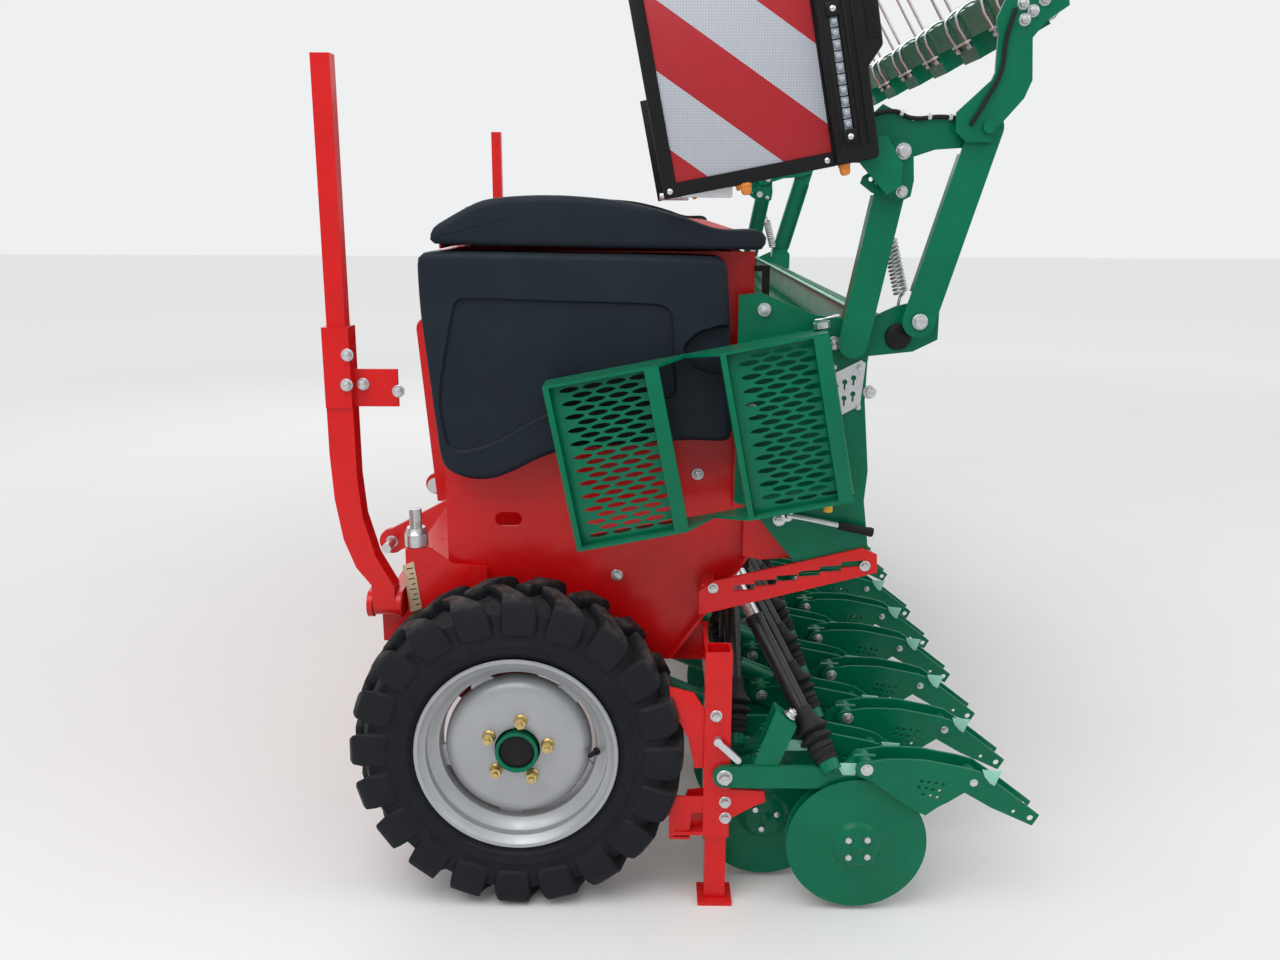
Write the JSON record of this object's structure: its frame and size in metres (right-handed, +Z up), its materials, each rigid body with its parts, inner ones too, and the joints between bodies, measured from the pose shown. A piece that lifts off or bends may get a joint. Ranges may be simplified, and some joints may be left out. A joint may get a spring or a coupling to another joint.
{
  "type": "mounted seed drill",
  "caption": "Mounted seed drill: a lidded hopper on two wheels, two rows of double disc coulters with seed tubes, a folded harrow, marker arms and a side step.",
  "frame": {"origin": "middle of the bounding box on the ground", "axes": "+X forward towards the hitch, +Y to the machine's left, +Z up"},
  "size_m": [1.665, 2.953, 2.3226],
  "materials": {
    "red_paint": "semi-gloss red paint",
    "green_paint": "semi-gloss green paint",
    "cover_plastic": "dark blue-grey moulded plastic with a fine grain",
    "black_plastic": "black plastic",
    "tube_plastic": "smooth black plastic tube",
    "rubber": "black rubber",
    "tyre": "black tyre rubber",
    "rim_paint": "silver paint",
    "zinc": "zinc plated steel",
    "spring_steel": "bright spring steel",
    "board": "white and red reflective stripes",
    "amber": "amber lens"
  },
  "bodies": {
    "frame": {"main_frame": "red_paint", "headstock": "red_paint", "hitch_pins": "zinc", "hopper": "red_paint", "end_plates": "red_paint", "side_covers": "cover_plastic", "lid_hinge": "zinc", "metering": "black_plastic", "seed_tubes": "tube_plastic", "tube_tops": "zinc", "bellows": "rubber", "coulter_beam": "green_paint", "arms_rear": "green_paint", "arms_front": "green_paint", "carriers_rear": "green_paint", "carriers_front": "green_paint", "wheel_arms": "red_paint", "spindle_housings": "red_paint", "wheel_spindles": "zinc", "side_plates": "green_paint", "platform": "green_paint", "tube_caps": "black_plastic", "handles": "black_plastic", "adjust_plate": "zinc", "harrow_masts": "green_paint", "link_plates": "green_paint", "harrow_pivots": "zinc", "springs": "zinc", "board_frames": "black_plastic", "board_panels": "board", "lamps": "amber", "saw_plates": "red_paint", "stand_brackets": "red_paint", "stand_pins": "zinc", "marker_brackets": "red_paint", "step_bracket": "green_paint"},
    "left_wheel": {"tyre_left": "tyre", "rim_left": "rim_paint", "hub_left": "green_paint"},
    "right_wheel": {"tyre_right": "tyre", "rim_right": "rim_paint", "hub_right": "green_paint"},
    "rear_discs": {"discs_rear": "green_paint"},
    "front_discs": {"discs_front": "green_paint"},
    "lid": {"lid_top": "red_paint", "lid_caps": "cover_plastic"},
    "left_marker": {"marker_left": "red_paint"},
    "right_marker": {"marker_right": "red_paint"},
    "harrow": {"harrow_arms": "green_paint", "harrow_beam": "green_paint", "harrow_tines": "spring_steel"},
    "step": {"step_frame": "green_paint", "step_mesh": "green_paint"},
    "left_stand": {"stand_left": "red_paint"},
    "right_stand": {"stand_right": "red_paint"}
  },
  "joints": [
    {"name": "left_wheel_spin", "type": "hinge", "parent": "frame", "child": "left_wheel", "pos_m": [0.2945, 1.37, 0.365], "axis": [0, 1, 0], "continuous": true},
    {"name": "right_wheel_spin", "type": "hinge", "parent": "frame", "child": "right_wheel", "pos_m": [0.2945, -1.37, 0.365], "axis": [0, 1, 0], "continuous": true},
    {"name": "rear_discs_spin", "type": "hinge", "parent": "frame", "child": "rear_discs", "pos_m": [-0.4465, 0, 0.165], "axis": [0, 1, 0], "continuous": true},
    {"name": "front_discs_spin", "type": "hinge", "parent": "frame", "child": "front_discs", "pos_m": [-0.2565, 0, 0.165], "axis": [0, 1, 0], "continuous": true},
    {"name": "lid_hinge", "type": "hinge", "parent": "frame", "child": "lid", "pos_m": [0.4695, 0, 1.432], "axis": [0, 1, 0], "range_deg": [0, 75]},
    {"name": "left_marker_fold", "type": "hinge", "parent": "frame", "child": "left_marker", "pos_m": [0.5945, 1.29, 0.655], "axis": [-1, 0, 0], "range_deg": [0, 90]},
    {"name": "right_marker_fold", "type": "hinge", "parent": "frame", "child": "right_marker", "pos_m": [0.5945, -1.29, 0.655], "axis": [1, 0, 0], "range_deg": [0, 90]},
    {"name": "harrow_fold", "type": "hinge", "parent": "frame", "child": "harrow", "pos_m": [-0.5365, 0, 1.291], "axis": [0, -1, 0], "range_deg": [0, 115]},
    {"name": "step_swing", "type": "hinge", "parent": "frame", "child": "step", "pos_m": [-0.37154, 1.376, 1.10462], "axis": [0.1908, 0, 0.9816], "range_deg": [0, 100]},
    {"name": "left_stand_slide", "type": "slide", "parent": "frame", "child": "left_stand", "axis": [0, 0, 1], "range_m": [0, 0.15]},
    {"name": "right_stand_slide", "type": "slide", "parent": "frame", "child": "right_stand", "axis": [0, 0, 1], "range_m": [0, 0.15]}
  ]
}
